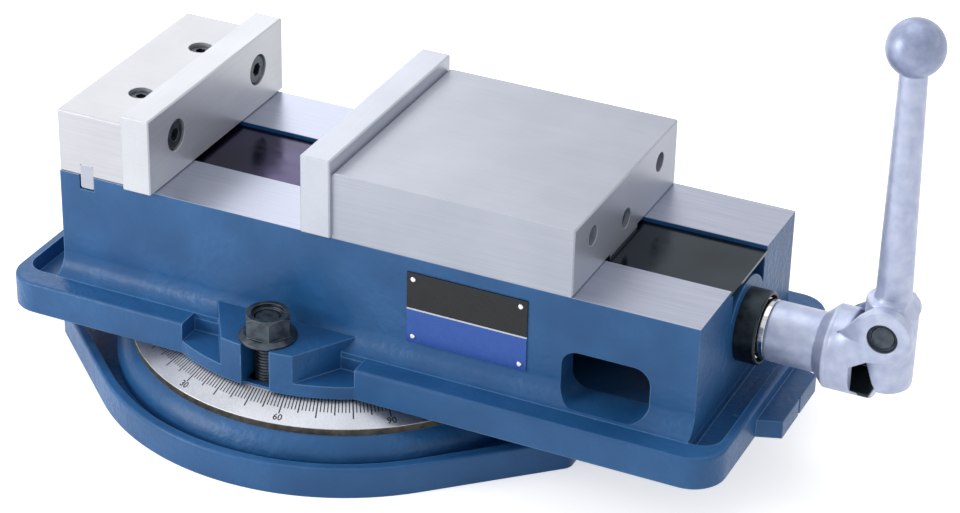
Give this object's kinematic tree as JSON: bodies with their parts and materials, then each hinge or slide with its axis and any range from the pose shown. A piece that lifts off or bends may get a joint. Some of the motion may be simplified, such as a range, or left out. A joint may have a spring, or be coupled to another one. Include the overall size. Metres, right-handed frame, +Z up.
{
  "type": "angle lock machine vise",
  "caption": "Cast machine vise with ground jaws, a pull-down screw nut, a folding ball crank and a graduated swivel base with clamp bolts.",
  "frame": {"origin": "swivel axis on the machine table, in the middle of the base's underside", "axes": "+X along the screw from the fixed jaw to the crank, +Z up"},
  "size_m": [0.5339, 0.3056, 0.2966],
  "materials": {
    "blue_enamel": "gloss enamel on cast iron",
    "ground_steel": "ground",
    "scale_steel": "satin",
    "black_oxide": "black oxide",
    "turned_steel": "turned",
    "bearing_steel": "polished",
    "nut_iron": "machined",
    "cover_steel": "blued sheet",
    "silver_paint": "satin silver",
    "plate_metal": "anodised",
    "rivet_metal": "polished"
  },
  "bodies": {
    "base": {"swivel_base": "blue_enamel", "swivel_hub": "blue_enamel", "scale_ring": "scale_steel", "swivel_pivot": "turned_steel"},
    "vise": {"vise_body": "blue_enamel", "vise_flange": "blue_enamel", "jaw_key": "ground_steel", "fixed_jaw": "ground_steel", "fixed_jaw_screws": "black_oxide", "fixed_jaw_plate": "ground_steel", "fixed_plate_screws": "black_oxide", "front_screw_cover": "cover_steel", "front_cover_screws": "black_oxide", "bearing_collar": "black_oxide", "fixed_race": "bearing_steel", "clamp_bolts": "black_oxide", "clamp_nuts": "black_oxide", "nameplate": "plate_metal", "nameplate_rivets": "rivet_metal"},
    "spindle": {"lead_screw": "turned_steel", "thrust_balls": "bearing_steel", "turning_race": "bearing_steel", "crank_hub": "silver_paint", "crank_pin": "black_oxide"},
    "jaw": {"movable_jaw": "ground_steel", "movable_jaw_plate": "ground_steel", "movable_plate_screws": "black_oxide", "half_ball": "bearing_steel", "screw_nut": "nut_iron", "nut_set_screw": "black_oxide", "rear_screw_cover": "cover_steel", "rear_cover_screws": "black_oxide"},
    "crank": {"crank_arm": "silver_paint", "ball_knob": "silver_paint"}
  },
  "joints": [
    {"name": "swivel", "type": "hinge", "parent": "base", "child": "vise", "pos_m": [0, 0, 0.0415], "axis": [0, 0, 1], "continuous": true},
    {"name": "screw_spin", "type": "hinge", "parent": "vise", "child": "spindle", "pos_m": [0.286, 0, 0.092], "axis": [1, 0, 0], "range_deg": [-6940.8, 3888]},
    {"name": "jaw_slide", "type": "slide", "parent": "vise", "child": "jaw", "axis": [1, 0, 0], "range_m": [-0.09641, 0.05401]},
    {"name": "crank_fold", "type": "hinge", "parent": "spindle", "child": "crank", "pos_m": [0.3371, 0, 0.1165], "axis": [0, 1, 0], "range_deg": [0, 40]}
  ],
  "couplings": [
    {"joint": "jaw_slide", "follows": "screw_spin", "m_per_rad": 0.00079577}
  ]
}
